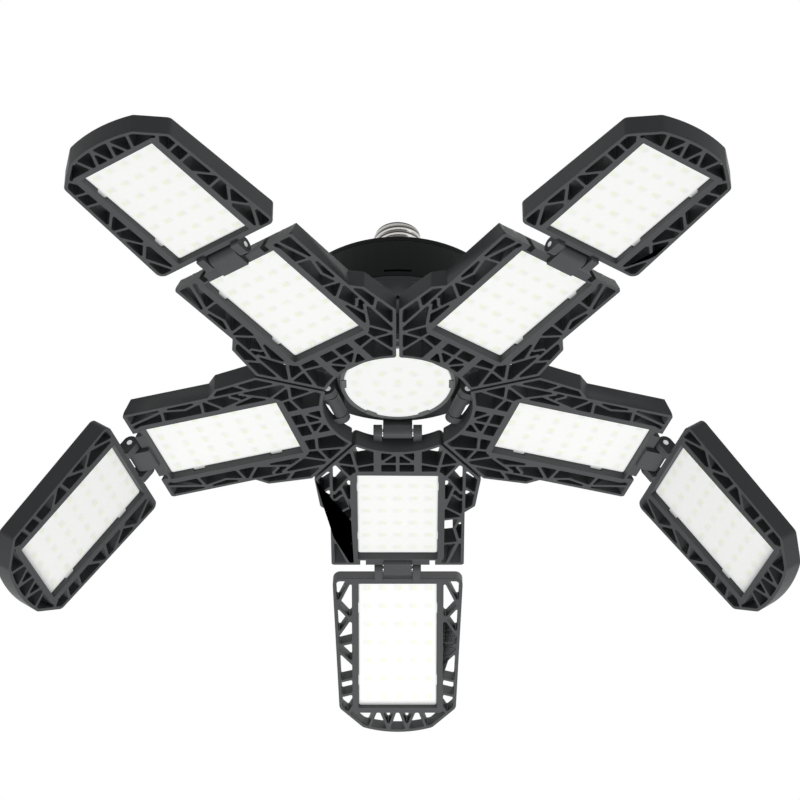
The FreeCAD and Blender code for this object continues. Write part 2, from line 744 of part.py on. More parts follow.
def make_arms():
    """Arms, each with a wing on the hub and a tip on the wing, and the solids they share."""
    light_tip = S.tip_recess - S.fold_hinge_rise
    pin_length = hinge_width
    wing_masters = {
        "wing_frame": make_wing_frame(),
        "wing_board": make_board("wing_board_master", S.tray_start, light_z),
        "wing_cover": make_cover("wing_cover_master", S.tray_start, light_z),
        "hub_hinge_pin": cylinder("hub_pin_master", S.pin_radius, pin_length,
                                  (S.hub_hinge_radius, -pin_length / 2, hub_hinge_z), lying=True),
        "fold_hinge_pin": cylinder("fold_pin_master", S.pin_radius, pin_length,
                                   (fold_hinge_x, -pin_length / 2, fold_hinge_z), lying=True),
    }
    tip_masters = {
        "tip_frame": make_tip_frame(),
        "tip_board": make_board("tip_board_master", S.tip_tray_start, light_tip),
        "tip_cover": make_cover("tip_cover_master", S.tip_tray_start, light_tip),
    }
    doc.recompute()
    parts = []
    for arm, azimuth, fold in ARMS:
        turn = Placement(Vector(), Rotation(Vector(0, 0, 1), azimuth))
        hinge = Placement(Vector(float(fold_hinge_x), 0, float(fold_hinge_z)),
                          Rotation(Vector(0, 1, 0), fold))
        for name, master in wing_masters.items():
            parts.append(place_copy(f"{name}_{arm}", master, turn))
        for name, master in tip_masters.items():
            parts.append(place_copy(f"{name}_{arm}", master, turn.multiply(hinge)))
    return parts, [*wing_masters.values(), *tip_masters.values()]


# ---------------------------------------------------------------- middle light

def make_core_board():
    """Round board of the middle light, with its diodes in two rings round one."""
    under = core_z + S.core_cover_depth
    pieces = [cylinder("core_plate", S.core_cover_radius, S.board_thick, (0, 0, under))]
    chip = S.chip_size
    rings = ((0.0, [0.0]), (S.core_ring_inner, evenly(S.core_inner_count)),
             (S.core_ring_outer, evenly(S.core_outer_count)))
    for ring, (radius, angles) in enumerate(rings):
        for index, angle in enumerate(angles):
            x = radius * math.cos(math.radians(angle)) - chip / 2
            y = radius * math.sin(math.radians(angle)) - chip / 2
            pieces.append(box(f"core_chip_{ring}_{index}", chip, chip, S.chip_height,
                              (x, y, under - S.chip_height)))
    return fuse("core_board", pieces)


def make_core_cover():
    """Round clear cover of the middle light: a face with a skirt behind it."""
    outer, inner = S.core_cover_radius, S.core_cover_radius - S.cover_skirt
    return revolved_body("core_cover", [
        (0.0, core_z), (outer, core_z), (outer, core_z + S.core_cover_depth),
        (inner, core_z + S.core_cover_depth), (inner, core_z + S.cover_thick),
        (0.0, core_z + S.cover_thick),
    ])


def make_core_bezel():
    """Bezel round the middle cover plate, with clips that hold it."""
    bore = S.core_cover_radius + S.plate_gap
    low = core_z
    ring = revolved_body("bezel_ring", [
        (bore, low), (S.bezel_radius, low), (S.bezel_radius, low + S.bezel_flange_rise - S.bezel_slope),
        (S.bezel_flange_radius, low + S.bezel_flange_rise),
        (S.bezel_flange_radius, low + S.bezel_height), (bore, low + S.bezel_height),
    ])
    clip = box("bezel_clip", S.clip_reach + S.plate_gap + S.clip_root, S.clip_width, S.clip_thick,
               (S.core_cover_radius - S.clip_reach, -S.clip_width / 2, low - S.clip_thick))
    return fuse("core_bezel", [ring, turned_copies("bezel_clips", clip, evenly(S.clip_count))])


def make_heat_sink():
    """Aluminium disc on the middle board, with straight fins up to the hub flange."""
    low = core_z + S.core_cover_depth + S.board_thick
    fin_foot = low + S.sink_thick
    fin_height = flange_z - fin_foot
    radius = S.core_cover_radius - S.sink_fin_inset
    disc = cylinder("sink_disc", S.core_cover_radius, S.sink_thick, (0, 0, low))
    slab = cylinder("sink_bounds", radius, fin_height, (0, 0, fin_foot))
    fins = []
    count = int(float(S.sink_fin_count))
    pitch = 2 * radius / count
    for index in range(count):
        y = pitch * (index - (count - 1) / 2) - S.sink_fin_thick / 2
        fins.append(box(f"sink_fin_{index}", 2 * radius, S.sink_fin_thick, fin_height,
                        (-radius, y, fin_foot)))
    trimmed = doc.addObject("Part::Common", "sink_fins")
    trimmed.Base = slab
    trimmed.Tool = fuse("sink_fin_rows", fins)
    return fuse("heat_sink", [disc, trimmed])


# ---------------------------------------------------------------- hub and driver housing

def make_hub_frame():
    """Hub: flange under the driver housing, column round the heat sink, five knuckles."""
    foot = core_z + S.bezel_height
    bore = S.column_radius - S.column_wall
    column = revolved_body("hub_column", [
        (bore, foot), (S.column_radius, foot), (S.column_radius, flange_z),
        (S.can_radius, flange_z), (S.can_radius, can_z), (S.wire_hole, can_z),
        (S.wire_hole, flange_z), (bore, flange_z),
    ])
    tooth = box("hub_tooth", S.tooth_reach + S.overlap, S.tooth_width, S.tooth_height,
                (S.column_radius - S.overlap, -S.tooth_width / 2, foot))
    half = S.knuckle_width / 2
    barrel = cylinder("hub_barrel_solid", S.hub_barrel, S.knuckle_width,
                      (S.hub_hinge_radius, -half, hub_hinge_z), lying=True)
    inner_x = S.bezel_flange_radius + S.plate_gap
    arm = box("hub_arm", S.hub_hinge_radius + S.hub_barrel - inner_x, S.knuckle_width,
              foot + S.arm_rise - hub_hinge_z, (inner_x, -half, hub_hinge_z))
    root_x = S.column_radius - S.column_wall / 2
    root = box("hub_arm_root", inner_x + S.overlap - root_x, S.knuckle_width,
               S.arm_rise, (root_x, -half, foot))
    knuckle = bored("hub_knuckle", [barrel, arm, root], S.hub_hinge_radius, hub_hinge_z)
    hole_length = S.driver_rise + S.flange_thick
    hole = cylinder("hub_screw_hole", S.screw_hole, hole_length, (S.pillar_circle, 0, flange_z))
    pillar = cut("hub_pillar", cylinder("hub_pillar_solid", S.pillar_radius, S.driver_rise,
                                        (S.pillar_circle, 0, can_z)), hole)
    return fuse("hub_frame", [
        cut("hub_drilled", column, turned_copies("hub_screw_holes", hole, evenly(S.screw_count))),
        turned_copies("hub_teeth", tooth, evenly(S.tooth_count)),
        turned_copies("hub_knuckles", knuckle, AZIMUTHS),
        turned_copies("hub_pillars", pillar, evenly(S.screw_count)),
    ])


def make_driver_housing():
    """Round wall of the driver housing, with short dark slots near its foot."""
    outer, inner = S.can_radius, S.can_radius - S.can_wall
    wall = revolved_body("housing_wall", [
        (inner, can_z), (outer, can_z), (outer, can_top_z), (inner, can_top_z),
    ])
    slot = box("housing_slot", S.slot_depth + S.overlap, S.slot_width, S.slot_height,
               (outer - S.slot_depth, -S.slot_width / 2, can_z + S.slot_rise))
    return cut("driver_housing", wall, turned_copies("housing_slots", slot, evenly(S.slot_count)))


def make_housing_cap():
    """Cap of the driver housing, rising in two slopes to the neck of the screw base."""
    lip = can_top_z + S.cap_lip
    shoulder = can_top_z + S.cap_shoulder_rise
    neck = band_bottom_z - S.neck_straight
    wall = S.cap_wall
    neck_bore = shell_bore + S.plate_gap
    return revolved_body("housing_cap", [
        (S.can_radius, can_top_z), (S.can_radius, lip), (S.cap_shoulder_radius, shoulder),
        (S.neck_radius, neck), (S.neck_radius, band_bottom_z),
        (neck_bore, band_bottom_z), (neck_bore, neck),
        (S.cap_shoulder_radius - wall, shoulder - wall),
        (S.can_radius - S.can_wall, lip - wall), (S.can_radius - S.can_wall, can_top_z),
    ])


def make_driver_board():
    """Round circuit board of the driver, with holes for its screws."""
    disc = cylinder("driver_disc", S.driver_radius, S.driver_thick, (0, 0, driver_z))
    hole = cylinder("driver_hole", S.screw_hole, S.driver_thick, (S.pillar_circle, 0, driver_z))
    return cut("driver_board", disc, turned_copies("driver_holes", hole, evenly(S.screw_count)))


def make_driver_components():
    """Transformer, capacitors, choke and rectifier, at shares of the driver board's radius."""
    top = driver_z + S.driver_thick
    board = S.driver_radius
    return fuse("driver_components", [
        box("transformer", S.transformer_length, S.transformer_width, S.transformer_height,
            (-0.29 * board - S.transformer_length / 2, -S.transformer_width / 2, top)),
        cylinder("capacitor", S.capacitor_radius, S.capacitor_height, (0.33 * board, 0.29 * board, top)),
        cylinder("small_capacitor", S.small_capacitor_radius, S.small_capacitor_height,
                 (0.37 * board, -0.24 * board, top)),
        cylinder("choke", S.choke_radius, S.choke_height, (-0.08 * board, -0.61 * board, top)),
        box("rectifier", S.rectifier_length, S.rectifier_thick, S.rectifier_height,
            (-S.rectifier_length / 2, 0.53 * board, top)),
    ])


def make_screws():
    """Screws through the driver board into the hub's pillars."""
    length = S.driver_thick + S.driver_rise
    head_z = driver_z + S.driver_thick
    shank = cylinder("screw_shank", S.screw_radius, length, (S.pillar_circle, 0, head_z - length))
    head = cylinder("screw_head_solid", S.screw_head, S.screw_head_height, (S.pillar_circle, 0, head_z))
    return turned_copies("driver_screws", fuse("screw", [shank, head]), evenly(S.screw_count))


# ---------------------------------------------------------------- screw base

def make_screw_shell():
    """Threaded shell: a tube with a plain band at its foot and a rounded helical thread."""
    root, crest, rounding = float(S.shell_root), float(S.band_radius), float(S.thread_round)
    bottom, band, height = float(band_bottom_z), float(S.band_height), float(S.shell_height)
    pitch, turns = float(S.thread_pitch), float(S.thread_turns)
    tube = Part.makeCylinder(root, height, Vector(0, 0, bottom))
    tube = tube.fuse(Part.makeCylinder(crest, band, Vector(0, 0, bottom)))
    helix = Part.makeHelix(pitch, pitch * turns, crest - rounding)
    section = Part.Wire(Part.makeCircle(rounding, Vector(crest - rounding, 0, 0), Vector(0, 1, 0)))
    thread = Part.Wire(helix).makePipeShell([section], True, True)
    thread.translate(Vector(0, 0, bottom + band + float(S.thread_start)))
    solid = tube.fuse(thread)
    bore = Part.makeCylinder(float(shell_bore), height, Vector(0, 0, bottom))
    return shape_object("screw_shell", solid.cut(bore))


def make_base_insulator():
    """Insulator that closes the shell and carries the end contact."""
    seat = shell_top_z - S.insulator_seat
    top = shell_top_z + S.insulator_height
    return revolved_body("base_insulator", [
        (0.0, seat), (shell_bore, seat), (shell_bore, shell_top_z),
        (S.insulator_top, top), (0.0, top),
    ])


def make_end_contact():
    """Soldered contact on top of the insulator."""
    foot = shell_top_z + S.insulator_height
    return revolved_body("end_contact", [
        (0.0, foot), (S.contact_radius, foot),
        (S.contact_shoulder_radius, foot + S.contact_shoulder_height),
        (S.contact_top_radius, foot + S.contact_height), (0.0, foot + S.contact_height),
    ])


# ---------------------------------------------------------------- build, check and write

parts, masters = make_arms()
middle = [
    make_core_board(), make_core_cover(), make_core_bezel(), make_heat_sink(),
    make_hub_frame(), make_driver_housing(), make_housing_cap(), make_driver_board(),
    make_driver_components(), make_screws(), make_screw_shell(), make_base_insulator(),
    make_end_contact(),
]
parts += middle
doc.recompute()

for thing in doc.Objects:
    if {"Invalid", "Error"} & set(thing.State):
        raise RuntimeError(f"{thing.Label} could not be built: {thing.State}")
for solid in masters + middle:
    if solid.Shape.isNull() or not solid.Shape.isValid():
        raise RuntimeError(f"{solid.Label} has no valid shape")
for part in parts:
    part.Shape.exportStep(f"parts/{part.Label}.step")
print(len(parts), "sub-parts written")
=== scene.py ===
import json
import math

import bmesh
import bpy
import numpy as np
from mathutils import Matrix, Vector


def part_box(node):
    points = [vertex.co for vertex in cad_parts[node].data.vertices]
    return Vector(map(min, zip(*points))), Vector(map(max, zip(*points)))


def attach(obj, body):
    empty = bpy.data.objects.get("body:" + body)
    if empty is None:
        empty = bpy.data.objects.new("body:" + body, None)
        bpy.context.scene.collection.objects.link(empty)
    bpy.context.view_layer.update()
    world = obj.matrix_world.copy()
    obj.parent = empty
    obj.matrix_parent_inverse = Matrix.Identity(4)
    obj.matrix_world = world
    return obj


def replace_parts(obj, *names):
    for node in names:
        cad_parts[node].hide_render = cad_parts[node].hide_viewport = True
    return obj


bl_info = {
    "name": "Folding garage lamp",
    "version": (1, 0, 0),
    "blender": (4, 5, 0),
    "location": "3D View > Sidebar > Lamp",
    "description": "Dresses the folding five-arm garage lamp and its studio",
    "category": "Object",
}

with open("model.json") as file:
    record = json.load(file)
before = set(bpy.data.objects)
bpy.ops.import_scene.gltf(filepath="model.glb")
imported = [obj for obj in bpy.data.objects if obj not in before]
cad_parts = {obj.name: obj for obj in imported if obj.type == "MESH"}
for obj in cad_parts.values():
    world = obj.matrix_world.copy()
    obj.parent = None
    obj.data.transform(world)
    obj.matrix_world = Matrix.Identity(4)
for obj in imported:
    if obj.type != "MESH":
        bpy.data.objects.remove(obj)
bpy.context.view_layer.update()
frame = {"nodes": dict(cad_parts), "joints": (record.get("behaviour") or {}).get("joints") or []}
NODES = frame["nodes"]
JOINTS = {joint["name"]: joint for joint in frame["joints"]}
ARMS = [name[len("hub_hinge_"):] for name in JOINTS if name.startswith("hub_hinge_")]


# ------------------------------------------------------------------ settings

class LampSizes(bpy.types.PropertyGroup):
    """Sizes of the visible details."""

    frame_edge: bpy.props.FloatProperty(
        name="Frame edge", description="Width of the rounded edges of the moulded frames",
        default=0.00022, unit="LENGTH")
    end_lean: bpy.props.FloatProperty(
        name="End lean", description="How far a wing's outer end leans in at its back",
        default=0.0045, unit="LENGTH")
    end_gap: bpy.props.FloatProperty(
        name="End gap", description="Outer end of a wing to its fold hinge",
        default=0.0051, unit="LENGTH")
    hinge_rise: bpy.props.FloatProperty(
        name="Hinge rise", description="Front edges of a wing up to its fold hinge",
        default=0.0015, unit="LENGTH")
    end_wall: bpy.props.FloatProperty(
        name="End wall", description="Thickness of a wing's outer end wall",
        default=0.0018, unit="LENGTH")
    end_inner: bpy.props.FloatProperty(
        name="End wall start", description="Middle of the arm to the near end of the end wall",
        default=0.0205, unit="LENGTH")
    end_outer: bpy.props.FloatProperty(
        name="End wall reach", description="Middle of the arm to the far end of the end wall",
        default=0.0347, unit="LENGTH")
    plate_edge: bpy.props.FloatProperty(
        name="Plate edge", description="Radius of the cover plates' edges",
        default=0.0007, unit="LENGTH")
    plate_corner: bpy.props.FloatProperty(
        name="Plate corner", description="Corner radius of a cover plate, seen from the front",
        default=0.0012, unit="LENGTH")
    tab_reach: bpy.props.FloatProperty(
        name="Tab reach", description="How far a snap tab stands out from its plate",
        default=0.0014, unit="LENGTH")
    tab_length: bpy.props.FloatProperty(
        name="Tab length", description="Length of a snap tab along the arm",
        default=0.006, unit="LENGTH")
    tab_setback: bpy.props.FloatProperty(
        name="Tab setback", description="Plate end to the middle of a snap tab",
        default=0.01535, unit="LENGTH")
    row_pitch: bpy.props.FloatProperty(
        name="Row pitch", description="Diode rows along the arm",
        default=0.0109, unit="LENGTH")
    column_pitch: bpy.props.FloatProperty(
        name="Column pitch", description="Diode columns across the arm",
        default=0.00845, unit="LENGTH")
    first_row: bpy.props.FloatProperty(
        name="First row", description="Plate end to the first diode row",
        default=0.00335, unit="LENGTH")
    ring_pitch: bpy.props.FloatProperty(
        name="Ring pitch", description="Rings of diodes in the middle light",
        default=0.0112, unit="LENGTH")
    housing_wall: bpy.props.FloatProperty(
        name="Housing wall", description="Wall of the driver housing",
        default=0.002, unit="LENGTH")
    slot_width: bpy.props.FloatProperty(
        name="Slot width", description="Slots in the housing wall, along the wall",
        default=0.014, unit="LENGTH")
    slot_height: bpy.props.FloatProperty(
        name="Slot height", description="Height of a slot in the housing wall",
        default=0.0014, unit="LENGTH")
    slot_depth: bpy.props.FloatProperty(
        name="Slot depth", description="Depth of a slot in the housing wall",
        default=0.001, unit="LENGTH")
    slot_rise: bpy.props.FloatProperty(
        name="Slot rise", description="Foot of the housing to its slots",
        default=0.003, unit="LENGTH")
    slot_count: bpy.props.IntProperty(
        name="Slot count", description="Slots round the housing", default=4, min=1)
    housing_facets: bpy.props.IntProperty(
        name="Housing facets", description="Faint flat facets round the driver housing",
        default=60, min=12)
    thread_pitch: bpy.props.FloatProperty(
        name="Thread pitch", description="Pitch of the screw base's thread",
        default=0.003629, unit="LENGTH")
    thread_depth: bpy.props.FloatProperty(
        name="Thread depth", description="Crest to root of the screw base's thread",
        default=0.00085, unit="LENGTH")
    shell_wall: bpy.props.FloatProperty(
        name="Shell wall", description="Wall of the screw shell, root to bore",
        default=0.0008, unit="LENGTH")
    band_height: bpy.props.FloatProperty(
        name="Band height", description="Plain band at the foot of the screw shell",
        default=0.003, unit="LENGTH")


class LampColours(bpy.types.PropertyGroup):
    """Colours of the finishes."""

    frame: bpy.props.FloatVectorProperty(
        name="Frame plastic", description="Moulded plastic of the arms",
        subtype="COLOR", size=3, default=(0.098, 0.103, 0.106), min=0, max=1)
    bezel: bpy.props.FloatVectorProperty(
        name="Bezel plastic", description="Smooth plastic round the middle light",
        subtype="COLOR", size=3, default=(0.17, 0.175, 0.175), min=0, max=1)
    housing: bpy.props.FloatVectorProperty(
        name="Housing plastic", description="Moulded plastic of the driver housing",
        subtype="COLOR", size=3, default=(0.014, 0.015, 0.016), min=0, max=1)
    plate: bpy.props.FloatVectorProperty(
        name="Cover plate", description="Frosted plastic in front of the diodes",
        subtype="COLOR", size=3, default=(0.80, 0.81, 0.79), min=0, max=1)
    diode: bpy.props.FloatVectorProperty(
        name="Diode phosphor", description="Yellow-green tint of a diode behind its plate",
        subtype="COLOR", size=3, default=(0.92, 0.94, 0.76), min=0, max=1)
    # Painted shadow: colour of the grey spot that each diode casts beside itself on its plate.
    shade: bpy.props.FloatVectorProperty(
        name="Diode shade", description="Grey tint beside a diode behind its plate",
        subtype="COLOR", size=3, default=(0.90, 0.90, 0.90), min=0, max=1)
    glow: bpy.props.FloatProperty(
        name="Glow", description="Light that a lit cover plate gives off",
        default=0.30, min=0)
    nickel: bpy.props.FloatVectorProperty(
        name="Nickel plate", description="Plating of the screw shell",
        subtype="COLOR", size=3, default=(0.66, 0.65, 0.62), min=0, max=1)
    floor: bpy.props.FloatVectorProperty(
        name="Floor", description="Studio floor",
        subtype="COLOR", size=3, default=(0.80, 0.80, 0.80), min=0, max=1)


# ------------------------------------------------------------------ surfaces

def put_mesh(name, points, faces, uv=None):
    """A mesh object in the lamp's frame, from a list of points and faces."""
    mesh = bpy.data.meshes.new(name)
    mesh.from_pydata(points.tolist(), [], faces)
    if uv is not None:
        layer = mesh.uv_layers.new(name="plate")
        corner = np.zeros(len(mesh.loops), dtype=np.int32)
        mesh.loops.foreach_get("vertex_index", corner)
        layer.data.foreach_set("uv", uv[corner].ravel())
    piece = bpy.data.objects.new(name, mesh)
    bpy.context.scene.collection.objects.link(piece)
    return piece


def grid_faces(rows, columns, start=0):
    """Quads of a grid whose columns close round; vertex (i, j) is number i * columns + j."""
    i, j = np.meshgrid(np.arange(rows - 1), np.arange(columns), indexing="ij")
    following = (j + 1) % columns
    quads = np.stack([i * columns + j, i * columns + following,
                      (i + 1) * columns + following, (i + 1) * columns + j], axis=-1)
    return (quads.reshape(-1, 4) + start).tolist()


def tidy(piece, sharp=35.0):
    """Joins doubled points, turns faces outwards and keeps creases over the angle sharp."""
    work = bmesh.new()
    work.from_mesh(piece.data)
    bmesh.ops.remove_doubles(work, verts=work.verts, dist=1e-6)
    bmesh.ops.dissolve_degenerate(work, edges=work.edges, dist=1e-7)
    bmesh.ops.recalc_face_normals(work, faces=work.faces)
    work.to_mesh(piece.data)
    work.free()
    piece.data.polygons.foreach_set("use_smooth", [True] * len(piece.data.polygons))
    piece.data.set_sharp_from_angle(angle=math.radians(sharp))
    return piece


def eased(corners, radii, steps=4):
    """A profile whose corners are eased.

    Each corner B between A and C becomes the curve (1-t)^2 P + 2t(1-t) B + t^2 Q, where P
    and Q lie one radius from B on its two sides. The first and last points stay.
    """
    corners = np.asarray(corners, float)
    t = np.linspace(0.0, 1.0, steps + 1)[:, None]
    runs = [corners[:1]]
    for before, corner, after, radius in zip(corners, corners[1:], corners[2:], radii):
        back, on = before - corner, after - corner
        p = corner + back / np.linalg.norm(back) * radius
        q = corner + on / np.linalg.norm(on) * radius
        runs.append((1 - t) ** 2 * p + 2 * t * (1 - t) * corner + t ** 2 * q)
    runs.append(corners[-1:])
    return np.concatenate(runs)


def turned(name, profile, angle=96, shape=None):
    """A surface of revolution: point (i, j) = (r_i k_ij cos a_j, r_i k_ij sin a_j, z_i).

    The angles a_j are given, or evenly spaced when only their number is. The factor k_ij is
    1, or the given function of the angle a_j, the radius r_i and the height z_i.
    """
    if isinstance(angle, int):
        angle = np.linspace(0.0, 2 * np.pi, angle, endpoint=False)
    count = len(angle)
    radius = profile[:, :1] * np.ones((1, count))
    height = profile[:, 1:] * np.ones((1, count))
    if shape is not None:
        radius = radius * shape(angle[None, :], radius, height)
    points = np.stack([radius * np.cos(angle), radius * np.sin(angle), height], axis=-1)
    return tidy(put_mesh(name, points.reshape(-1, 3), grid_faces(len(profile), count)))


def slab(half, corner, profile, quarter=5):
    """Points and faces of a rounded slab: a profile carried round a rounded rectangle.

    At inset d the outline has half sizes h - d and corner radius c = max(r - d, small); a
    point of it is (sx (hx - d - c) + c cos a, sy (hy - d - c) + c sin a), with the signs of
    its quarter. Both ends of the profile are closed by a flat face.
    """
    a = np.concatenate([np.linspace(q, q + 1, quarter) * np.pi / 2 for q in range(4)])
    sx = np.repeat([1, -1, -1, 1], quarter)
    sy = np.repeat([1, 1, -1, -1], quarter)
    inset, height = profile[:, :1], profile[:, 1:]
    c = np.maximum(corner - inset, 1e-5)
    x = sx * (half[0] - inset - c) + c * np.cos(a)
    y = sy * (half[1] - inset - c) + c * np.sin(a)
    points = np.stack([x, y, height * np.ones_like(x)], axis=-1).reshape(-1, 3)
    columns = len(a)
    faces = grid_faces(len(profile), columns)
    faces.append(list(range(columns))[::-1])
    faces.append([(len(profile) - 1) * columns + j for j in range(columns)])
    return points, faces


def joined(parts):
    """Several (points, faces) surfaces as one."""
    points, faces, start = [], [], 0
    for some_points, some_faces in parts:
        points.append(some_points)
        faces += [[index + start for index in face] for face in some_faces]
        start += len(some_points)
    return np.concatenate(points), faces


def moved(surface, offset):
    """A surface shifted by an offset."""
    return surface[0] + np.asarray(offset, float), surface[1]


def placed(points, matrix):
    """Points of an arm's own frame, in the lamp's frame: M p + o."""
    turn = np.array(matrix.to_3x3())
    return points @ turn.T + np.array(matrix.translation)


def softened(node, name, width, plain=None, extra=None):
    """A CAD node's own faces with their sharp edges rounded over.

    Edges with an end where plain(point) is true stay sharp. Extra points and faces, a closed
    form of their own, are added and rounded too.
    """
    work = bmesh.new()
    work.from_mesh(NODES[node].data)
    bmesh.ops.remove_doubles(work, verts=work.verts, dist=2e-6)
    bmesh.ops.dissolve_limit(work, angle_limit=math.radians(0.4), use_dissolve_boundaries=False,
                             verts=work.verts, edges=work.edges)
    weight = work.edges.layers.float.new("bevel_weight_edge")
    for edge in work.edges:
        sharp = edge.is_manifold and edge.calc_face_angle() > math.radians(35)
        stays = plain is not None and any(plain(vert.co) for vert in edge.verts)
        edge[weight] = float(sharp and not stays)
    if extra:
        verts = [work.verts.new(point) for point in extra[0]]
        added = [work.faces.new([verts[index] for index in face]) for face in extra[1]]
        bmesh.ops.recalc_face_normals(work, faces=added)
        for edge in {edge for face in added for edge in face.edges}:
            edge[weight] = 1.0
    mesh = bpy.data.meshes.new(name)
    work.to_mesh(mesh)
    work.free()
    mesh.polygons.foreach_set("use_smooth", [True] * len(mesh.polygons))
    mesh.set_sharp_from_angle(angle=math.radians(35))
    piece = bpy.data.objects.new(name, mesh)
    bpy.context.scene.collection.objects.link(piece)
    edges = piece.modifiers.new("rounded edges", "BEVEL")
    edges.width = width
    edges.segments = 2
    edges.limit_method = "WEIGHT"
    edges.use_clamp_overlap = False
    edges.harden_normals = True
    return piece


# ------------------------------------------------------------------ places

def arm_frame(arm, tip):
    """The frame of an arm's wing or tip: X along the arm, Y across it, Z towards its back."""
    x, y, _ = JOINTS[f"hub_hinge_{arm}"]["pos_m"]
    turn = Matrix.Rotation(math.atan2(y, x), 4, "Z")
    if not tip:
        return turn
    hinge = JOINTS[f"fold_hinge_{arm}"]
    fold = math.radians(-hinge["range_deg"][0])
    return Matrix.Translation(Vector(hinge["pos_m"])) @ turn @ Matrix.Rotation(fold, 4, "Y")


def local_box(node, matrix):
    """Lowest and highest corner of a CAD node in an arm's own frame."""
    mesh = NODES[node].data
    points = np.zeros(len(mesh.vertices) * 3)
    mesh.vertices.foreach_get("co", points)
    points = placed(points.reshape(-1, 3), matrix.inverted())
    return points.min(axis=0), points.max(axis=0)


def dress(piece, material):
    """Gives a piece its finish."""
    piece.data.materials.clear()
    piece.data.materials.append(material)
    return piece


# ------------------------------------------------------------------ finishes

def node_group(name, inputs, outputs):
    """An empty shader group with named number and vector sockets."""
    group = bpy.data.node_groups.new(name, "ShaderNodeTree")
    for label, kind, default in inputs:
        socket = group.interface.new_socket(label, in_out="INPUT", socket_type=kind)
        if default is not None:
            socket.default_value = default
    for label, kind in outputs:
        group.interface.new_socket(label, in_out="OUTPUT", socket_type=kind)
    return group, group.nodes.new("NodeGroupInput"), group.nodes.new("NodeGroupOutput")


def maths(tree, operation, first, second=None, clamp=False):
    """A Math node; sockets are linked and numbers are written in."""
    node = tree.nodes.new("ShaderNodeMath")
    node.operation = operation
    node.use_clamp = clamp
    for index, value in enumerate((first, second)):
        if value is None:
            continue
        if isinstance(value, (int, float)):
            node.inputs[index].default_value = value
        else:
            tree.links.new(value, node.inputs[index])
    return node.outputs[0]


def moulded_grain():
    """Fine spark texture of moulded plastic: height, shade and roughness that vary with it."""
    group, into, out = node_group("Moulded grain", [
        ("Vector", "NodeSocketVector", None),
        ("Grain", "NodeSocketFloat", 2600.0),
        ("Clouds", "NodeSocketFloat", 38.0),
        ("Rough", "NodeSocketFloat", 0.5),
    ], [("Height", "NodeSocketFloat"), ("Shade", "NodeSocketFloat"), ("Roughness", "NodeSocketFloat")])
    fine = group.nodes.new("ShaderNodeTexNoise")
    fine.inputs["Detail"].default_value = 3.0
    group.links.new(into.outputs["Vector"], fine.inputs["Vector"])
    group.links.new(into.outputs["Grain"], fine.inputs["Scale"])
    broad = group.nodes.new("ShaderNodeTexNoise")
    broad.inputs["Detail"].default_value = 2.0
    group.links.new(into.outputs["Vector"], broad.inputs["Vector"])
    group.links.new(into.outputs["Clouds"], broad.inputs["Scale"])
    group.links.new(fine.outputs[0], out.inputs["Height"])
    blend = maths(group, "MULTIPLY", broad.outputs[0], 0.7)
    shade = maths(group, "ADD", blend, maths(group, "MULTIPLY", fine.outputs[0], 0.3))
    group.links.new(shade, out.inputs["Shade"])
    swing = maths(group, "MULTIPLY", maths(group, "SUBTRACT", shade, 0.5), 0.35)
    group.links.new(maths(group, "ADD", into.outputs["Rough"], swing), out.inputs["Roughness"])
    return group


def start_material(name, metallic=0.0):
    """A material with its shader and Object coordinates."""
    material = bpy.data.materials.new(name)
    material.use_nodes = True
    tree = material.node_tree
    shader = tree.nodes["Principled BSDF"]
    shader.inputs["Metallic"].default_value = metallic
    place = tree.nodes.new("ShaderNodeTexCoord")
    return material, tree, shader, place


def tinted(tree, factor, dark, light):
    """A colour that runs from dark to light with a factor."""
    ramp = tree.nodes.new("ShaderNodeMix")
    ramp.data_type = "RGBA"
    ramp.inputs[6].default_value = (*dark, 1.0)
    ramp.inputs[7].default_value = (*light, 1.0)
    tree.links.new(factor, ramp.inputs[0])
    return ramp.outputs[2]


def bumped(tree, shader, height, strength, distance):
    """Feeds a height to the shader's normal."""
    bump = tree.nodes.new("ShaderNodeBump")
    bump.inputs["Strength"].default_value = strength
    bump.inputs["Distance"].default_value = distance
    tree.links.new(height, bump.inputs["Height"])
    tree.links.new(bump.outputs["Normal"], shader.inputs["Normal"])


def grained(name, colour, rough, spread=0.12, grain=2600.0, strength=0.25, metallic=0.0, shine=0.5):
    """A moulded or cast finish in one colour, with fine grain and a broad change of shade."""
    material, tree, shader, place = start_material(name, metallic)
    shader.inputs["Specular IOR Level"].default_value = shine
    group = tree.nodes.new("ShaderNodeGroup")
    group.node_tree = bpy.data.node_groups.get("Moulded grain") or moulded_grain()
    group.inputs["Grain"].default_value = grain
    group.inputs["Rough"].default_value = rough
    tree.links.new(place.outputs["Object"], group.inputs["Vector"])
    dark = tuple(channel * (1 - spread) for channel in colour)
    light = tuple(min(channel * (1 + spread), 1.0) for channel in colour)
    tree.links.new(tinted(tree, group.outputs["Shade"], dark, light), shader.inputs["Base Color"])
    tree.links.new(group.outputs["Roughness"], shader.inputs["Roughness"])
    bumped(tree, shader, group.outputs["Height"], strength, 0.00006)
    return material


def in_grooves(tree, colour, groove_shade):
    """A colour with painted shade in the grooves: it darkens where the piece's own map, 1 on a crest
    and 0 in a root, is low.
    """
    chart = tree.nodes.new("ShaderNodeUVMap")
    chart.uv_map = "plate"
    split = tree.nodes.new("ShaderNodeSeparateXYZ")
    tree.links.new(chart.outputs[0], split.inputs[0])
    depth = maths(tree, "SUBTRACT", 1.0, split.outputs[1], clamp=True)
    blend = tree.nodes.new("ShaderNodeMix")
    blend.data_type = "RGBA"
    blend.inputs[7].default_value = (*groove_shade, 1.0)
    tree.links.new(colour, blend.inputs[6])
    tree.links.new(maths(tree, "POWER", depth, 1.6), blend.inputs[0])
    return blend.outputs[2]


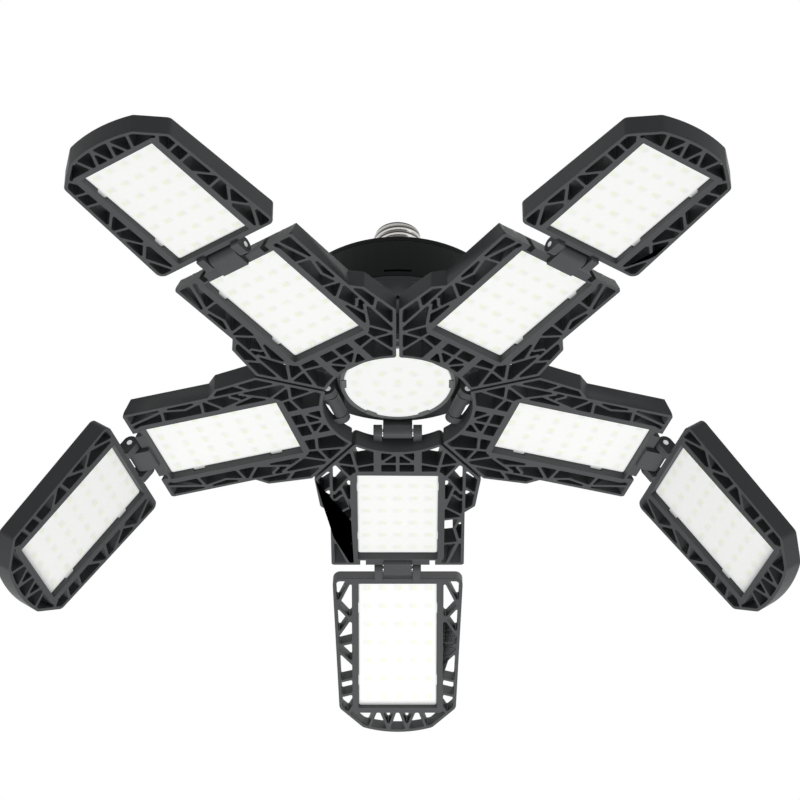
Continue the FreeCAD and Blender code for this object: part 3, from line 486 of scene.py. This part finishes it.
def brushed(name, colour, rough, lines=(1500.0, 1500.0, 60.0), groove_shade=None):
    """Drawn or plated metal with fine lines, and painted shade darkening its grooves where a groove
    colour is given.
    """
    material, tree, shader, place = start_material(name, 1.0)
    stretch = tree.nodes.new("ShaderNodeMapping")
    stretch.inputs["Scale"].default_value = lines
    tree.links.new(place.outputs["Object"], stretch.inputs["Vector"])
    streaks = tree.nodes.new("ShaderNodeTexNoise")
    streaks.inputs["Scale"].default_value = 1.0
    streaks.inputs["Detail"].default_value = 3.0
    tree.links.new(stretch.outputs[0], streaks.inputs["Vector"])
    light = tuple(min(channel * 1.12, 1.0) for channel in colour)
    dark = tuple(channel * 0.86 for channel in colour)
    metal = tinted(tree, streaks.outputs[0], dark, light)
    if groove_shade:
        metal = in_grooves(tree, metal, groove_shade)
    tree.links.new(metal, shader.inputs["Base Color"])
    swing = maths(tree, "MULTIPLY", maths(tree, "SUBTRACT", streaks.outputs[0], 0.5), 0.2)
    tree.links.new(maths(tree, "ADD", swing, rough), shader.inputs["Roughness"])
    bumped(tree, shader, streaks.outputs[0], 0.15, 0.00004)
    return material


def diode_spots():
    """Mask of the diodes behind a plate, on a map whose whole numbers are diode centres."""
    group, into, out = node_group("Diode spots", [
        ("Vector", "NodeSocketVector", None),
        ("Width", "NodeSocketFloat", 0.17),
        ("Depth", "NodeSocketFloat", 0.14),
        ("Shift", "NodeSocketFloat", 0.0),
        ("Soft", "NodeSocketFloat", 0.06),
    ], [("Mask", "NodeSocketFloat")])
    split = group.nodes.new("ShaderNodeSeparateXYZ")
    group.links.new(into.outputs["Vector"], split.inputs[0])
    sides = []
    for axis, half, shift in ((0, "Depth", None), (1, "Width", "Shift")):
        place = split.outputs[axis]
        if shift:
            place = maths(group, "ADD", place, into.outputs[shift])
        offset = maths(group, "PINGPONG", place, 0.5)
        over = maths(group, "SUBTRACT", offset, into.outputs[half])
        soft = maths(group, "DIVIDE", over, into.outputs["Soft"])
        sides.append(maths(group, "SUBTRACT", 1.0, soft, clamp=True))
    group.links.new(maths(group, "MULTIPLY", sides[0], sides[1]), out.inputs["Mask"])
    return group


def plate_finish(name, colours):
    """Frosted plastic lit from behind, with the diodes as faint yellow spots and a painted grey shadow
    beside each.
    """
    material, tree, shader, place = start_material(name)
    chart = tree.nodes.new("ShaderNodeUVMap")
    chart.uv_map = "plate"
    masks = []
    # The first spots are the diodes' yellow-green phosphor; the second, shifted, are their painted grey
    # shadows.
    for shift, width, depth in ((0.10, 0.13, 0.12), (-0.16, 0.10, 0.13)):
        spots = tree.nodes.new("ShaderNodeGroup")
        spots.node_tree = bpy.data.node_groups.get("Diode spots") or diode_spots()
        spots.inputs["Shift"].default_value = shift
        spots.inputs["Width"].default_value = width
        spots.inputs["Depth"].default_value = depth
        tree.links.new(chart.outputs[0], spots.inputs["Vector"])
        masks.append(spots.outputs["Mask"])
    patches = tree.nodes.new("ShaderNodeTexNoise")
    patches.inputs["Scale"].default_value = 0.8
    tree.links.new(chart.outputs[0], patches.inputs["Vector"])
    uneven = maths(tree, "MULTIPLY", patches.outputs[0], 1.5, clamp=True)
    tint = None
    # The diode tint, then the painted grey shadow, darken the plate's glow and colour.
    for mask, spot in zip(masks, (colours.diode, colours.shade)):
        blend = tree.nodes.new("ShaderNodeMix")
        blend.data_type = "RGBA"
        blend.inputs[6].default_value = (1.0, 1.0, 1.0, 1.0)
        if tint is not None:
            tree.links.new(tint, blend.inputs[6])
        blend.inputs[7].default_value = (*spot, 1.0)
        tree.links.new(maths(tree, "MULTIPLY", mask, uneven), blend.inputs[0])
        tint = blend.outputs[2]
    tree.links.new(tint, shader.inputs["Emission Color"])
    shader.inputs["Emission Strength"].default_value = colours.glow
    frost = tree.nodes.new("ShaderNodeTexNoise")
    frost.inputs["Scale"].default_value = 1800.0
    tree.links.new(place.outputs["Object"], frost.inputs["Vector"])
    light = tuple(min(channel * 1.04, 1.0) for channel in colours.plate)
    through = tree.nodes.new("ShaderNodeMix")
    through.data_type = "RGBA"
    through.blend_type = "MULTIPLY"
    through.inputs[0].default_value = 1.0
    tree.links.new(tinted(tree, frost.outputs[0], tuple(colours.plate), light), through.inputs[6])
    tree.links.new(tint, through.inputs[7])
    tree.links.new(through.outputs[2], shader.inputs["Base Color"])
    rough = maths(tree, "ADD", maths(tree, "MULTIPLY", frost.outputs[0], 0.12), 0.28)
    tree.links.new(rough, shader.inputs["Roughness"])
    bumped(tree, shader, frost.outputs[0], 0.1, 0.00003)
    return material


def finishes():
    """All finishes of the lamp, made once."""
    if "Frame plastic" in bpy.data.materials:
        return {material.name: material for material in bpy.data.materials}
    colours = bpy.context.scene.lamp_colours
    grained("Frame plastic", tuple(colours.frame), 0.46, spread=0.14, shine=0.12)
    grained("Bezel plastic", tuple(colours.bezel), 0.30, spread=0.08, strength=0.08)
    grained("Housing plastic", tuple(colours.housing), 0.38, spread=0.16, strength=0.15, shine=0.08)
    grained("Diode board", (0.88, 0.89, 0.86), 0.42, spread=0.03, grain=1500.0, strength=0.1)
    grained("Cast aluminium", (0.62, 0.63, 0.64), 0.42, spread=0.08, grain=900.0, metallic=1.0)
    grained("Driver board", (0.05, 0.22, 0.10), 0.35, spread=0.1, grain=700.0, strength=0.1)
    grained("Component case", (0.10, 0.10, 0.11), 0.40, spread=0.15)
    grained("Glazed insulator", (0.02, 0.02, 0.022), 0.18, spread=0.1, strength=0.05)
    grained("Solder", (0.70, 0.69, 0.66), 0.34, spread=0.1, grain=500.0, metallic=1.0)
    brushed("Pin steel", (0.60, 0.60, 0.61), 0.32, lines=(900.0, 900.0, 900.0))
    # The nickel shell gets painted shade in its thread's grooves, darker towards each root.
    brushed("Nickel plate", tuple(colours.nickel), 0.20, groove_shade=(0.05, 0.048, 0.045))
    plate_finish("Lit plate", colours)
    return {material.name: material for material in bpy.data.materials}


# ------------------------------------------------------------------ operators

class LAMP_OT_frames(bpy.types.Operator):
    """Moulded lattice frames of the arms, with rounded edges and the wings' leaning end walls"""

    bl_idname = "lamp.frames"
    bl_label = "Arm frames"

    def execute(self, context):
        sizes, finish = context.scene.lamp_sizes, finishes()
        for arm in ARMS:
            for part in ("wing", "tip"):
                node = f"{part}_frame_{arm}"
                near_end, walls = self.wing_end(arm, sizes) if part == "wing" else (None, None)
                piece = softened(node, f"{part}_lattice_{arm}", sizes.frame_edge, near_end, walls)
                dress(piece, finish["Frame plastic"])
                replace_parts(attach(piece, f"{part}_{arm}"), node)
        return {"FINISHED"}

    @staticmethod
    def wing_end(arm, sizes):
        """A test for points at a wing's outer end, and its two leaning walls.

        The CAD frame has only the front part of these walls, so they are drawn whole here. A
        wall's outer face is x = e - l (z - f) / (b - f), from the front edges f, where the
        wing ends at e, to the back b, where it has leaned in by l.
        """
        matrix = arm_frame(arm, False)
        back = JOINTS[f"hub_hinge_{arm}"]["pos_m"][2]
        x, y, hinge = JOINTS[f"fold_hinge_{arm}"]["pos_m"]
        front, end = hinge - sizes.hinge_rise, math.hypot(x, y) - sizes.end_gap
        inset = 0.00003
        points, faces = [], []
        for side in (1, -1):
            start = len(points)
            for z, lean in ((front + inset, 0.0), (back - inset, sizes.end_lean)):
                face = end - lean - inset
                for across in (sizes.end_inner, sizes.end_outer):
                    points += [(face, side * across, z), (face - sizes.end_wall, side * across, z)]
            faces += [[start + index for index in quad] for quad in (
                (0, 1, 3, 2), (4, 6, 7, 5), (0, 2, 6, 4), (1, 5, 7, 3), (0, 4, 5, 1), (2, 3, 7, 6))]
        inverse = matrix.inverted()
        reach = sizes.end_lean + 2 * sizes.end_wall

        def near_end(point):
            """Whether a point lies at the outer end, beside the hinge block."""
            place = inverse @ point
            return place.x > end - reach and abs(place.y) > sizes.end_inner - 2 * sizes.end_wall

        return near_end, (placed(np.array(points), matrix).tolist(), faces)


class LAMP_OT_panels(bpy.types.Operator):
    """Cover plates with their snap tabs, and the diode boards behind them"""

    bl_idname = "lamp.panels"
    bl_label = "Light panels"

    def execute(self, context):
        sizes, finish = context.scene.lamp_sizes, finishes()
        edge = sizes.plate_edge
        tab_share, tab_front, tab_back, tab_clear = 0.45, 0.0006, 0.0004, 0.00002
        for arm in ARMS:
            for part in ("wing", "tip"):
                node = f"{part}_cover_{arm}"
                matrix = arm_frame(arm, part == "tip")
                low, high = local_box(node, matrix)
                centre = (low + high) / 2
                half = (high - low) / 2 - np.array([0, sizes.tab_reach, 0])
                depth = high[2] - low[2]
                profile = eased([(edge * 2, 0), (0, 0), (0, depth), (edge * 2, depth)],
                                [edge, edge / 3])
                plate = moved(slab(half[:2], sizes.plate_corner, profile),
                              (centre[0], centre[1], low[2]))
                surfaces = [plate]
                tab_half = (sizes.tab_length / 2, sizes.tab_reach)
                thick = depth * tab_share
                side_view = eased([(tab_front, 0), (0, 0), (0, thick), (tab_back, thick)],
                                  [tab_front / 2, tab_back / 2])
                tab = slab(tab_half, tab_back, side_view, quarter=3)
                for x in (low[0] + sizes.tab_setback, high[0] - sizes.tab_setback):
                    for side in (1, -1):
                        surfaces.append(moved(tab, (x, side * half[1], low[2] + tab_clear)))
                points, faces = joined(surfaces)
                chart = np.stack([
                    (points[:, 0] - low[0] - sizes.first_row) / sizes.row_pitch,
                    points[:, 1] / sizes.column_pitch,
                ], axis=-1)
                piece = tidy(put_mesh(f"{part}_plate_{arm}", placed(points, matrix), faces, chart))
                dress(piece, finish["Lit plate"])
                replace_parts(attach(piece, f"{part}_{arm}"), node)
                dress(NODES[f"{part}_board_{arm}"], finish["Diode board"])
        return {"FINISHED"}


class LAMP_OT_hinges(bpy.types.Operator):
    """Steel pins of the hub hinges and fold hinges"""

    bl_idname = "lamp.hinges"
    bl_label = "Hinge pins"

    def execute(self, context):
        finish = finishes()
        for arm in ARMS:
            for hinge in ("hub", "fold"):
                dress(NODES[f"{hinge}_hinge_pin_{arm}"], finish["Pin steel"])
        return {"FINISHED"}


class LAMP_OT_middle_light(bpy.types.Operator):
    """Round cover plate of the middle light, its bezel, board and heat sink"""

    bl_idname = "lamp.middle_light"
    bl_label = "Middle light"

    def execute(self, context):
        sizes, finish = context.scene.lamp_sizes, finishes()
        low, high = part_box("core_cover")
        radius, edge = high.x, sizes.plate_edge
        rings = np.linspace(0.0, radius - edge, 26)
        profile = eased([(0.0, low.z), (radius, low.z), (radius, high.z), (0.0, high.z)],
                        [edge, edge / 3])
        inner = np.stack([rings, np.full_like(rings, low.z)], axis=-1)
        piece = turned("middle_plate", np.concatenate([inner, profile[1:]]))
        self.ring_chart(piece, sizes.ring_pitch)
        dress(piece, finish["Lit plate"])
        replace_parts(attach(piece, "root"), "core_cover")
        bezel = dress(softened("core_bezel", "middle_bezel", sizes.frame_edge), finish["Bezel plastic"])
        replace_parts(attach(bezel, "root"), "core_bezel")
        dress(NODES["core_board"], finish["Diode board"])
        dress(NODES["heat_sink"], finish["Cast aluminium"])
        return {"FINISHED"}

    @staticmethod
    def ring_chart(piece, pitch):
        """Maps a round plate so that the diodes of ring k, 8 k of them, fall on whole numbers.

        A face in ring k has (u, v) = (r / p, 8 k a / 2 pi); in the middle it is (x, y) / p.
        """
        layer = piece.data.uv_layers.new(name="plate")
        for face in piece.data.polygons:
            ring = round(math.hypot(face.center.x, face.center.y) / pitch)
            middle = math.atan2(face.center.y, face.center.x)
            for loop in face.loop_indices:
                point = piece.data.vertices[piece.data.loops[loop].vertex_index].co
                if ring == 0:
                    layer.data[loop].uv = (point.x / pitch, point.y / pitch)
                    continue
                turn = math.remainder(math.atan2(point.y, point.x) - middle, 2 * math.pi) + middle
                layer.data[loop].uv = (math.hypot(point.x, point.y) / pitch, 4 * ring * turn / math.pi)


class LAMP_OT_hub(bpy.types.Operator):
    """Hub frame with its cooling teeth and hinge knuckles"""

    bl_idname = "lamp.hub"
    bl_label = "Hub"

    def execute(self, context):
        sizes, finish = context.scene.lamp_sizes, finishes()
        piece = dress(softened("hub_frame", "hub", sizes.frame_edge), finish["Frame plastic"])
        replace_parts(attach(piece, "root"), "hub_frame")
        return {"FINISHED"}


class LAMP_OT_driver(bpy.types.Operator):
    """Driver housing with faint facets and short slots, its cap, and the driver inside"""

    bl_idname = "lamp.driver"
    bl_label = "Driver housing"

    def execute(self, context):
        sizes, finish = context.scene.lamp_sizes, finishes()
        low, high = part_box("driver_housing")
        radius, inner = high.x, high.x - sizes.housing_wall
        foot = low.z + sizes.slot_rise
        top = foot + sizes.slot_height
        lip, inner_edge, foot_edge, top_edge = 0.0001, 0.0002, 0.0006, 0.0004
        profile = eased([
            (inner, high.z - lip), (inner, low.z), (radius, low.z), (radius, foot - lip),
            (radius, foot), (radius, top), (radius, top + lip), (radius, high.z),
            (inner, high.z), (inner, high.z - lip),
        ], [inner_edge, foot_edge, lip / 4, lip / 4, lip / 4, lip / 4, top_edge, lip / 4], steps=3)
        step = 2 * math.pi / sizes.housing_facets
        pitch = 2 * math.pi / sizes.slot_count
        reach = math.asin(sizes.slot_width / 2 / radius)
        even = np.linspace(0.0, 2 * np.pi, sizes.housing_facets * 4, endpoint=False)
        ends = [index * pitch + side * (reach + lip / radius * out)
                for index in range(sizes.slot_count) for side in (1, -1) for out in (0, 1)]
        angle = np.unique(np.concatenate([even, np.mod(ends, 2 * np.pi)]))

        def slotted(angle, radii, height):
            """Radius factor: flat facets, cos(s/2) / cos(a') within one, less the slots' depth."""
            within = np.mod(angle, step) - step / 2
            flat = math.cos(step / 2) / np.cos(within) * np.ones_like(height)
            beside = np.abs(np.mod(angle + pitch / 2, pitch) - pitch / 2)
            inside = (beside <= reach + 1e-9) & (height >= foot - 1e-9) & (height <= top + 1e-9)
            return flat - inside * (radii > inner + lip) * sizes.slot_depth / radius

        piece = turned("driver_wall", profile, angle, slotted)
        dress(piece, finish["Housing plastic"])
        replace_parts(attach(piece, "root"), "driver_housing")
        dress(NODES["housing_cap"], finish["Housing plastic"])
        dress(NODES["driver_board"], finish["Driver board"])
        dress(NODES["driver_components"], finish["Component case"])
        dress(NODES["driver_screws"], finish["Pin steel"])
        return {"FINISHED"}


class LAMP_OT_screw_base(bpy.types.Operator):
    """Rolled screw shell, its insulator and end contact"""

    bl_idname = "lamp.screw_base"
    bl_label = "Screw base"

    def execute(self, context):
        sizes, finish = context.scene.lamp_sizes, finishes()
        low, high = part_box("screw_shell")
        crest, root, band = high.x, high.x - sizes.thread_depth, sizes.band_height
        run_in, run_out, plain_top, band_edge = 0.0012, 0.002, 0.0012, 0.0005
        lip_height, lip_depth = 0.001, 0.0006
        rows, count = 220, 96
        height = np.linspace(low.z, high.z, rows)
        angle = np.linspace(0.0, 2 * np.pi, count, endpoint=False)
        z, a = np.meshgrid(height, angle, indexing="ij")
        turns = (z - low.z - band) / sizes.thread_pitch - a / (2 * np.pi)
        rise = np.clip((z - low.z - band) / run_in, 0, 1)
        rise = rise * np.clip((high.z - plain_top - z) / run_out, 0, 1)
        wave = 0.5 - 0.5 * np.cos(2 * np.pi * turns)
        on_band = np.clip((low.z + band - z) / band_edge + 1, 0, 1)
        outer = root + (crest - root) * np.maximum(wave * rise, on_band)
        outer -= np.clip((z - high.z + lip_height) / lip_height, 0, 1) ** 2 * lip_depth
        inner = np.full_like(outer[::-1], root - sizes.shell_wall)
        radius = np.concatenate([outer, inner, outer[:1]])
        z = np.concatenate([z, z[::-1], z[:1]])
        points = np.stack([radius * np.cos(angle), radius * np.sin(angle), z], axis=-1)
        # Crest-to-root map; the nickel finish paints shade into the thread's grooves from it.
        chart = np.stack([np.zeros_like(radius), (radius - root) / (crest - root)], axis=-1)
        piece = tidy(put_mesh("screw_thread", points.reshape(-1, 3), grid_faces(len(z), count),
                              chart.reshape(-1, 2)), 60)
        dress(piece, finish["Nickel plate"])
        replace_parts(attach(piece, "root"), "screw_shell")
        dress(NODES["base_insulator"], finish["Glazed insulator"])
        dress(NODES["end_contact"], finish["Solder"])
        return {"FINISHED"}


class LAMP_OT_stage(bpy.types.Operator):
    """Floor, studio lights, plain backdrop and the camera"""

    bl_idname = "lamp.stage"
    bl_label = "Stage"

    def execute(self, context):
        scene = context.scene
        scene.view_settings.view_transform = "Standard"
        self.camera(scene)
        self.floor(scene)
        self.world(scene)
        for name, place, target, size, power in (
            ("key light", (0.0, 0.2, -1.4), (0, 0, -0.08), 1.0, 13.0),
            ("side light", (1.3, -0.9, -0.4), (0, 0, -0.05), 0.6, 1.0),
            ("top light", (0.3, 0.9, 1.4), (0, 0, 0), 1.0, 2.0),
        ):
            lamp = bpy.data.lights.new(name, "AREA")
            lamp.shape = "DISK"
            lamp.size = size
            lamp.energy = power
            light = bpy.data.objects.new(name, lamp)
            light.location = place
            light.rotation_euler = (Vector(target) - Vector(place)).to_track_quat("-Z", "Y").to_euler()
            scene.collection.objects.link(light)
        return {"FINISHED"}

    @staticmethod
    def camera(scene):
        """The camera stands below and in front of the lamp and looks up at it."""
        lens = bpy.data.cameras.new("camera")
        lens.sensor_width = 36.0
        lens.lens = 150.5
        lens.shift_x = 0.0029
        lens.clip_end = 20.0
        camera = bpy.data.objects.new("camera", lens)
        camera.location = (0.0, -1.3437, -1.1823)
        camera.rotation_euler = (math.radians(90 + 39.08), 0.0, 0.0)
        scene.collection.objects.link(camera)
        scene.camera = camera

    @staticmethod
    def floor(scene):
        """A round floor that curves up at its edge: z = f + h (r / R)^6."""
        reach, rise, level = 4.0, 0.3, -1.9
        radius = np.linspace(0.0, reach, 40)
        profile = np.stack([radius, level + rise * (radius / reach) ** 6], axis=-1)
        floor = turned("floor", profile, 96)
        floor.data.flip_normals()
        colour = tuple(scene.lamp_colours.floor)
        material, tree, shader, place = start_material("Studio floor")
        noise = tree.nodes.new("ShaderNodeTexNoise")
        noise.inputs["Scale"].default_value = 3.0
        tree.links.new(place.outputs["Object"], noise.inputs["Vector"])
        tree.links.new(tinted(tree, noise.outputs[0], tuple(c * 0.97 for c in colour), colour),
                       shader.inputs["Base Color"])
        shader.inputs["Roughness"].default_value = 0.8
        dress(floor, material)

    @staticmethod
    def world(scene):
        """Plain studio light all round; the backdrop itself shows white."""
        world = bpy.data.worlds.new("studio")
        world.use_nodes = True
        tree = world.node_tree
        light = tree.nodes["Background"]
        light.inputs["Color"].default_value = (1, 1, 1, 1)
        light.inputs["Strength"].default_value = 0.18
        white = tree.nodes.new("ShaderNodeBackground")
        white.inputs["Color"].default_value = (1, 1, 1, 1)
        white.inputs["Strength"].default_value = 1.0
        path = tree.nodes.new("ShaderNodeLightPath")
        seen = maths(tree, "MAXIMUM", path.outputs["Is Camera Ray"], path.outputs["Is Glossy Ray"])
        seen = maths(tree, "MAXIMUM", seen, path.outputs["Is Transmission Ray"])
        mix = tree.nodes.new("ShaderNodeMixShader")
        tree.links.new(seen, mix.inputs[0])
        tree.links.new(light.outputs[0], mix.inputs[1])
        tree.links.new(white.outputs[0], mix.inputs[2])
        tree.links.new(mix.outputs[0], tree.nodes["World Output"].inputs["Surface"])
        scene.world = world


class LAMP_PT_sidebar(bpy.types.Panel):
    """Lists the lamp's pieces in the 3D view's sidebar"""

    bl_label = "Garage lamp"
    bl_idname = "LAMP_PT_sidebar"
    bl_space_type = "VIEW_3D"
    bl_region_type = "UI"
    bl_category = "Lamp"

    def draw(self, context):
        column = self.layout.column()
        for operator in OPERATORS:
            column.operator(operator.bl_idname)
        for settings in (context.scene.lamp_sizes, context.scene.lamp_colours):
            for name in settings.__annotations__:
                column.prop(settings, name)


OPERATORS = (
    LAMP_OT_frames, LAMP_OT_panels, LAMP_OT_hinges, LAMP_OT_middle_light,
    LAMP_OT_hub, LAMP_OT_driver, LAMP_OT_screw_base, LAMP_OT_stage,
)


def register():
    for cls in (LampSizes, LampColours, *OPERATORS, LAMP_PT_sidebar):
        bpy.utils.register_class(cls)
    bpy.types.Scene.lamp_sizes = bpy.props.PointerProperty(type=LampSizes)
    bpy.types.Scene.lamp_colours = bpy.props.PointerProperty(type=LampColours)


def unregister():
    del bpy.types.Scene.lamp_colours
    del bpy.types.Scene.lamp_sizes
    for cls in reversed((LampSizes, LampColours, *OPERATORS, LAMP_PT_sidebar)):
        bpy.utils.unregister_class(cls)


def main():
    register()
    for operator in OPERATORS:
        getattr(bpy.ops.lamp, operator.bl_idname.split(".")[1])()


if __name__ == "__main__":
    main()
